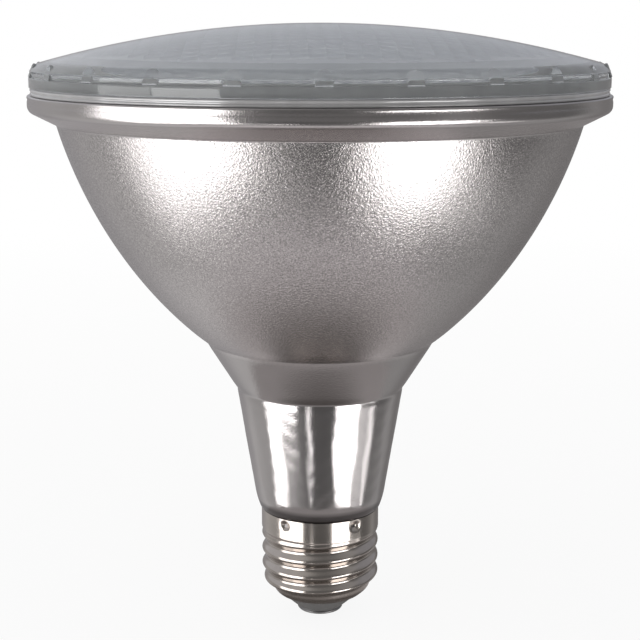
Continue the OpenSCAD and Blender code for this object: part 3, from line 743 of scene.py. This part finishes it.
class LAMP_OT_reflector_glass(bpy.types.Operator):
    """Models the pressed glass body: rim, bowl, cone, rippled neck and the mirror inside"""

    bl_idname = "lamp.reflector_glass"
    bl_label = "Reflector glass"

    def execute(self, context):
        sizes = context.scene.lamp_glass
        finishes = context.scene.lamp_finishes
        mouth_r = LENS_R - context.scene.lamp_lens.flange_width
        neck_top_z = SHELL_RIM + sizes.neck_height
        cone_top_z = neck_top_z + sizes.cone_height
        spigot_r = BAND_R - context.scene.lamp_cap.wall - 0.1 * MM
        outside = self.outside(sizes, spigot_r, neck_top_z, cone_top_z)
        outside = self.dented(outside, (neck_top_z, cone_top_z), sizes.seam_depth, sizes.seam_width)
        inside = self.inside(sizes, mouth_r, cone_top_z)
        glass = turned("reflector_glass", outside + inside + outside[:1], GLASS_STEPS)

        def ripple(point):
            """Depth of the ripples as a share: slow waves and fine ones, gone at both ends of the neck."""
            height = (point.z - SHELL_RIM) / sizes.neck_height
            if not 0 < height < 1 or axis_distance(point) < sizes.hollow_radius + 2 * MM:
                return 0.0
            turn = math.atan2(point.y, point.x)
            wave = math.sin(9 * turn + 3 * math.sin(5 * height))
            wave += 0.6 * math.sin(17 * turn - 4 * height + 1.3)
            wave += 0.5 * math.sin(46 * height + 4 * math.sin(6 * turn))
            wave += 0.4 * math.sin(31 * turn + 9 * height)
            return ease(8 * height) * ease(8 * (1 - height)) * (0.5 + 0.2 * wave)

        press(glass, ripple, -sizes.ripple)
        smooth(glass, 40)
        seat(glass, "silvered_glass", [satin_silver(finishes, sizes), reflector_mirror()], "reflector_body")
        for face in glass.data.polygons:
            inward = faces_axis(face) or face.normal.z > 0.9
            within = axis_distance(face.center) < mouth_r + JOIN and face.center.z > WEB_TOP - JOIN
            face.material_index = int(inward and within)
        return {"FINISHED"}

    def outside(self, sizes, spigot_r, neck_top_z, cone_top_z):
        """Outline from the spigot inside the cap up to the top of the rim."""
        edge = 0.3 * MM
        seam_z = GLASS_TOP - 0.75 * MM
        spigot = (spigot_r, SHELL_RIM)
        neck_low = (sizes.neck_low_radius, SHELL_RIM)
        shoulder = (sizes.shoulder_radius, SHELL_RIM + sizes.shoulder_height)
        neck_top = (sizes.neck_top_radius, neck_top_z)
        cone_top = (sizes.cone_top_radius, cone_top_z)
        bowl_top = (sizes.bowl_radius, cone_top_z + sizes.bowl_height)
        bowl = self.bowl(sizes, cone_top, bowl_top)
        lip_centre = (LIP_R - sizes.lip_round, GLASS_TOP - sizes.lip_height)
        lip = arc(lip_centre, sizes.lip_round, sizes.collar_slope - math.pi / 2, 0, 8)
        bend = rounded(neck_low, shoulder, neck_top, 15 * MM, 16)
        corner = rounded(shoulder, neck_top, cone_top, sizes.corner_round)
        return (
            [(spigot_r - edge, GLASS_FOOT), (spigot_r, GLASS_FOOT + edge), spigot]
            + rounded(spigot, neck_low, shoulder, 1 * MM)
            + bend
            + straight(bend[-1], corner[0], 44)
            + corner[1:]
            + rounded(neck_top, cone_top, bowl[1], sizes.corner_round)
            + bowl[3:-1]
            + rounded(bowl[-2], bowl_top, lip[0], 0.5 * MM, 4)
            + lip
            + [(LIP_R, seam_z - 2 * edge), (LIP_R - sizes.rim_seam, seam_z), (LIP_R, seam_z + edge)]
            + rounded((LIP_R, seam_z + edge), (LIP_R, GLASS_TOP), (0, GLASS_TOP), edge, 6)
        )

    def bowl(self, sizes, foot, top, steps=48):
        """Points of the bowl's curve, which leaves each end at the slope and with the pull given."""
        chord = math.dist(foot, top)
        low, high = (
            (end[0] + pull * chord * math.cos(slope), end[1] + pull * chord * math.sin(slope))
            for end, pull, slope in (
                (foot, sizes.low_pull, sizes.low_slope), (top, -sizes.high_pull, sizes.high_slope))
        )
        points = []
        for k in range(steps + 1):
            t = k / steps
            w = 1 - t
            points.append(tuple(
                w ** 3 * foot[i] + 3 * w * w * t * low[i] + 3 * w * t * t * high[i] + t ** 3 * top[i]
                for i in (0, 1)))
        return points

    def dented(self, points, heights, depth, width):
        """The outline with a shallow round seam pressed in at each height given."""
        fine = points[:1]
        for a, b in zip(points, points[1:]):
            near = any(min(abs(a[1] - h), abs(b[1] - h)) < 2 * width for h in heights)
            fine += straight(a, b, max(1, math.ceil(math.dist(a, b) / (width / 6))) if near else 1)

        def dent(z):
            return depth * sum(math.exp(-((z - h) * 2 / width) ** 2) for h in heights)

        return [(r - dent(z), z) for r, z in fine]

    def inside(self, sizes, mouth_r, cone_top_z, steps=40):
        """Outline from the mouth down the mirror to the well, and up the hollow neck to the web."""
        low_r = sizes.cone_top_radius - sizes.wall
        high_r = sizes.bowl_radius - sizes.wall
        spread = (high_r ** 2 - low_r ** 2) / sizes.bowl_height
        mirror_z = cone_top_z - low_r ** 2 / spread
        radii = [high_r + (sizes.well_radius - high_r) * k / steps for k in range(steps + 1)]
        mirror = [(r, mirror_z + r * r / spread) for r in radii]
        well = rounded(mirror[-1], (sizes.well_radius, WEB_TOP), (0, WEB_TOP), 1 * MM, 5)
        web_foot = (0, WEB_TOP - sizes.web)
        hollow_top = (sizes.hollow_radius - 0.6 * MM, web_foot[1])
        hollow_foot = (sizes.hollow_radius, GLASS_FOOT)
        hollow = rounded(web_foot, hollow_top, hollow_foot, 1 * MM, 5)
        return [(mouth_r, GLASS_TOP), *mirror, *well, (0, WEB_TOP), web_foot, *hollow, hollow_foot]


class LAMP_OT_rim_seal(bpy.types.Operator):
    """Models the ring of cement between lens and rim, squeezed out in two beads"""

    bl_idname = "lamp.rim_seal"
    bl_label = "Rim seal"

    def execute(self, context):
        inner_r = LENS_R - context.scene.lamp_lens.flange_width
        bead = 0.34 * MM
        middle_r = LENS_R - 0.15 * MM - bead
        wrap = math.radians(65)
        low = arc((middle_r, GLASS_TOP + bead), bead, -math.pi / 2, wrap, 8)
        high = arc((middle_r, LENS_FOOT - bead), bead, -wrap, math.pi / 2, 8)
        ring = [(inner_r, GLASS_TOP), *low, *high, (inner_r, LENS_FOOT), (inner_r, GLASS_TOP)]
        seal = turned("rim_seal_ring", ring, LENS_STEPS)
        smooth(seal, 50)
        seat(seal, "cement", [set_cement(context.scene.lamp_finishes.cement)], "rim_seal")
        return {"FINISHED"}


class LAMP_OT_screw_shell(bpy.types.Operator):
    """Models the rolled screw shell with its thread, plain band and punched dimples"""

    bl_idname = "lamp.screw_shell"
    bl_label = "Screw shell"

    def execute(self, context):
        sizes = context.scene.lamp_cap
        height = SHELL_RIM - SHELL_FOOT
        band_z = SHELL_RIM - sizes.band_height
        crest_r = BAND_R - 0.05 * MM
        rings = 100

        def form(h):
            """Radius of the sheet before rolling, at a height above its foot."""
            if h > height - sizes.band_height:
                return BAND_R
            rise = math.sin(math.pi / 2 * min(1, h / sizes.foot_height))
            return sizes.foot_radius + (crest_r - sizes.foot_radius) * rise

        heights = [height * k / rings for k in range(rings + 1)]
        shell = turned("screw_shell", [(form(h), SHELL_FOOT + h) for h in heights], SHELL_STEPS)

        def rolled(point):
            """Depth of the thread as a share, which fades out at the foot and at the band."""
            run = ease((point.z - SHELL_FOOT) / sizes.run_out) * ease((band_z - point.z) / (1.2 * MM))
            turn = math.atan2(point.y, point.x)
            phase = math.tau * (point.z - band_z) / sizes.thread_pitch - turn + sizes.thread_turn
            return run * (0.5 - 0.5 * math.cos(phase))

        dimple_z = SHELL_RIM - sizes.dimple_drop
        apart = math.tau / sizes.dimple_count
        reach = 1.05

        def punched(point):
            """Depth of the nearest dimple as a share, full in its middle."""
            if point.z < band_z:
                return 0.0
            turn = (math.atan2(point.y, point.x) - sizes.dimple_turn + apart / 2) % apart - apart / 2
            away = math.hypot(turn * BAND_R, point.z - dimple_z) / (sizes.dimple_width / 2)
            return ease(reach - away)

        press(shell, rolled, -sizes.thread_depth)
        press(shell, punched, -sizes.dimple_depth)
        finish_with(shell, "SOLIDIFY", thickness=sizes.wall, offset=-1, use_even_offset=True)
        smooth(shell)
        metal = worked_metal("Nickel plate", context.scene.lamp_finishes.nickel, 0.16)
        seat(shell, "nickel_shell", [metal], "cap_shell")
        return {"FINISHED"}


class LAMP_OT_inner_finishes(bpy.types.Operator):
    """Gives the carried-over pieces their finishes: contact end, leads and burner"""

    bl_idname = "lamp.inner_finishes"
    bl_label = "Small pieces"

    def execute(self, context):
        wire = worked_metal("Drawn wire", (0.55, 0.54, 0.52), 0.25, 1500.0)
        solder = worked_metal("Dull solder", (0.17, 0.165, 0.165), 0.42, 400.0, 0.01 * MM)
        foil = worked_metal("Rolled foil", (0.50, 0.50, 0.52), 0.3, 2000.0)
        ferrule = worked_metal("Drawn thimble", (0.55, 0.54, 0.52), 0.3, 1200.0)
        copper = worked_metal("Tinned wire", (0.60, 0.58, 0.55), 0.3, 1500.0)
        finishes = {
            "cap_insulator": dull_filler("Fused insulator", (0.085, 0.083, 0.082), 0.3, 0.4 * MM, 0.01 * MM),
            "centre_contact": worked_metal("Contact metal", (0.20, 0.195, 0.195), 0.35, 700.0),
            "contact_solder": solder,
            "shell_joint": solder,
            "burner_envelope": clear_glass("Fused quartz", (0.97, 0.98, 0.99), 0.01, 200.0, 0.002 * MM),
            "exhaust_tube": clear_glass("Drawn tube glass", (0.93, 0.96, 0.96), 0.02, 300.0, 0.004 * MM),
            "burner_filament": worked_metal("Coiled tungsten", (0.30, 0.30, 0.32), 0.4, 4000.0),
            "neck_lead_centre": copper,
            "neck_lead_side": copper,
            "fuse_sleeve": dull_filler("Woven sleeve", (0.72, 0.71, 0.66), 0.8, 0.25 * MM, 0.05 * MM),
        }
        pairs = {"burner_foil": foil, "burner_pin": wire, "support_lead": wire, "ferrule": ferrule}
        for name, material in pairs.items():
            finishes.update({name + "_left": material, name + "_right": material})
        for name, material in finishes.items():
            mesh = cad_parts[name].data
            mesh.materials.clear()
            mesh.materials.append(material)
        return {"FINISHED"}


class LAMP_OT_stage(bpy.types.Operator):
    """Sets the pale floor, the softboxes, the plain studio surroundings and the camera"""

    bl_idname = "lamp.stage"
    bl_label = "Stage"

    def execute(self, context):
        stage = context.scene.lamp_stage
        context.scene.view_settings.view_transform = "Standard"
        self.floor(stage)
        self.shadow_card(stage)
        self.surroundings(context.scene)
        self.softboxes(stage)
        self.camera(context.scene, stage)
        return {"FINISHED"}

    def floor(self, stage):
        """A white floor that keeps the lamp's shadow and runs out into the white surroundings."""
        deselect_all()
        bpy.ops.mesh.primitive_plane_add(size=stage.floor_size, location=(0, 0, FLOOR_Z))
        floor = bpy.context.object
        floor.name = "studio_floor"
        floor.visible_glossy = False
        floor.visible_shadow = False
        recipe = Recipe("Pale floor", Base_Color=(0.9, 0.9, 0.9), Roughness=0.9)
        outward = recipe.ranged(recipe.distance(recipe.place()), 0.9, 1.0, 0.05, 0.6)
        mix = recipe.add("ShaderNodeMixShader")
        recipe.links.new(recipe.times(recipe.seen_direct(), outward), mix.inputs[0])
        recipe.links.new(recipe.shader.outputs[0], mix.inputs[1])
        recipe.links.new(recipe.add("ShaderNodeEmission").outputs[0], mix.inputs[2])
        recipe.links.new(mix.outputs[0], recipe.nodes["Material Output"].inputs["Surface"])
        floor.data.materials.append(recipe.material)

    def shadow_card(self, stage):
        """A dark disc that only gloss sees, glowing paler towards its edge: painted shadow of the table
        under the cap, as the rolls of the thread show it.
        """
        deselect_all()
        bpy.ops.mesh.primitive_circle_add(vertices=64, radius=stage.card_radius, fill_type="NGON",
                                          location=(0, 0, FLOOR_Z - stage.card_drop))
        card = bpy.context.object
        card.name = "studio_shadow_card"
        for kind in ("camera", "diffuse", "transmission", "shadow", "volume_scatter"):
            setattr(card, "visible_" + kind, False)
        recipe = Recipe("Painted shadow card", Base_Color=(0.03, 0.03, 0.03), Roughness=0.9, Emission_Strength=1.0)
        outward = recipe.ranged(recipe.distance(recipe.place()), 0.0, 1.0, 0.03, 0.05)
        # Painted shadow: the disc glows dark near the axis and paler beyond 50 mm.
        recipe.feed("Emission Color", recipe.blended(outward, (0.11, 0.10, 0.095), (0.42, 0.40, 0.40)))
        card.data.materials.append(recipe.material)

    def surroundings(self, scene):
        """White for the camera and through glass; gloss sees a studio, pale at the sides, dark ahead."""
        scene.world = bpy.data.worlds.new("Studio")
        scene.world.use_nodes = True
        world = Nodes(scene.world.node_tree)
        x, y, z = world.parts(world.add("ShaderNodeTexCoord").outputs["Generated"])
        walls = self.levels(world, x, (
            (0.0, 0.5), (0.15, 0.74), (0.27, 0.7), (0.42, 0.36), (0.52, 0.28), (0.64, 0.32), (0.78, 0.44),
            (0.88, 0.5), (0.96, 0.2)))
        ahead = self.levels(world, z, (
            (0.0, 0.5), (0.08, 0.4), (0.14, 0.16), (0.37, 0.16), (0.475, 0.28), (0.6, 0.18), (1.0, 0.18)))
        front, behind, off_front, upper, downward, across = (
            world.ranged(source, 0.0, 1.0, start, end, soft=True)
            for source, start, end in (
                (y, -0.45, -0.9), (y, 0.45, 0.85), (y, -0.4, 0.2), (z, 0.0, 0.15), (z, -0.78, -0.93),
                (x, -0.6, 0.2)))
        studio = world.blended(front, walls, ahead)
        studio = world.blended(behind, studio, world.blended(across, (0.44, 0.43, 0.44), (0.25, 0.24, 0.24)))
        studio = world.blended(downward, studio, (0.95, 0.92, 0.94))
        sky = world.blended(across, (0.74, 0.75, 0.79), (0.45, 0.46, 0.5))
        studio = world.blended(world.times(upper, off_front), studio, sky)
        gloss = world.add("ShaderNodeLightPath").outputs["Is Glossy Ray"]
        light = world.blended(gloss, (0.6, 0.6, 0.6), studio)
        seen = world.blended(world.seen_direct(), light, (1.0, 1.0, 1.0))
        world.links.new(seen, world.nodes["Background"].inputs["Color"])

    def levels(self, world, source, stops):
        """The greys that stops give for places from 0 to 1, spread over a source that runs from -1 to 1."""
        ramp = world.add("ShaderNodeValToRGB")
        elements = ramp.color_ramp.elements
        while len(elements) < len(stops):
            elements.new(0.5)
        for element, (position, level) in zip(elements, stops):
            element.position = position
            element.color = (level, level, level, 1)
        world.links.new(world.ranged(source, 0.0, 1.0, -1.0), ramp.inputs["Fac"])
        return ramp.outputs["Color"]

    def softboxes(self, stage):
        """Upright softboxes round the front: turn and width in degrees, foot and top in metres, level."""
        for name, turn, wide, foot, top, level in (
                ("left_far", -73, 24, -0.257, 0.15, 0.65),
                ("left_upper", -47, 26, -0.195, 0.15, 1.15),
                ("left_slim", -16, 5, -0.257, -0.14, 0.6),
                ("right", 41, 34, -0.272, 0.0, 1.35),
                ("right_fill", 66, 17, -0.257, -0.14, 0.17),
                ("right_slim", 81, 9, -0.257, -0.14, 0.4)):
            facing = math.radians(turn)
            lamp = bpy.data.lights.new("softbox_" + name, "AREA")
            lamp.shape = "RECTANGLE"
            lamp.size = 2 * stage.box_distance * math.tan(math.radians(wide / 2))
            lamp.size_y = top - foot
            lamp.energy = level * stage.box_strength * math.pi * lamp.size * lamp.size_y
            box = bpy.data.objects.new("softbox_" + name, lamp)
            bpy.context.scene.collection.objects.link(box)
            ahead = -stage.box_distance * math.cos(facing)
            box.location = (stage.box_distance * math.sin(facing), ahead, (foot + top) / 2)
            box.rotation_euler = (math.pi / 2, 0, facing)
            box.visible_camera = False

    def camera(self, scene, stage):
        """A camera in front of the lamp that looks down on it a little."""
        data = bpy.data.cameras.new("camera")
        data.lens = stage.camera_lens
        data.sensor_width = 36.0
        data.clip_start = 0.01
        camera = bpy.data.objects.new("camera", data)
        scene.collection.objects.link(camera)
        camera.location = (0, -stage.camera_distance, stage.camera_height)
        camera.rotation_euler = (math.pi / 2 - stage.camera_pitch, 0, 0)
        scene.camera = camera


class LAMP_PT_dressing(bpy.types.Panel):
    """Lists the steps that dress the lamp."""

    bl_idname = "LAMP_PT_dressing"
    bl_label = "Reflector lamp"
    bl_space_type = "VIEW_3D"
    bl_region_type = "UI"
    bl_category = "Lamp"

    def draw(self, context):
        for step in OPERATORS:
            self.layout.operator(step.bl_idname)


SETTINGS = {
    "lamp_lens": LampLensSizes,
    "lamp_glass": LampGlassSizes,
    "lamp_cap": LampCapSizes,
    "lamp_finishes": LampFinishes,
    "lamp_stage": LampStage,
}
OPERATORS = [
    LAMP_OT_reflector_glass,
    LAMP_OT_front_lens,
    LAMP_OT_rim_seal,
    LAMP_OT_screw_shell,
    LAMP_OT_inner_finishes,
    LAMP_OT_stage,
]
CLASSES = [*SETTINGS.values(), *OPERATORS, LAMP_PT_dressing]


def register():
    for item in CLASSES:
        bpy.utils.register_class(item)
    for name, group in SETTINGS.items():
        setattr(bpy.types.Scene, name, PointerProperty(type=group))


def unregister():
    for name in SETTINGS:
        delattr(bpy.types.Scene, name)
    for item in reversed(CLASSES):
        bpy.utils.unregister_class(item)


def main():
    """Registers the add-on and runs its steps in order."""
    register()
    for build_effect in (grain_group, haze_group, streak_group):
        build_effect()
    bpy.ops.lamp.reflector_glass()
    bpy.ops.lamp.front_lens()
    bpy.ops.lamp.rim_seal()
    bpy.ops.lamp.screw_shell()
    bpy.ops.lamp.inner_finishes()
    bpy.ops.lamp.stage()


if __name__ == "__main__":
    main()
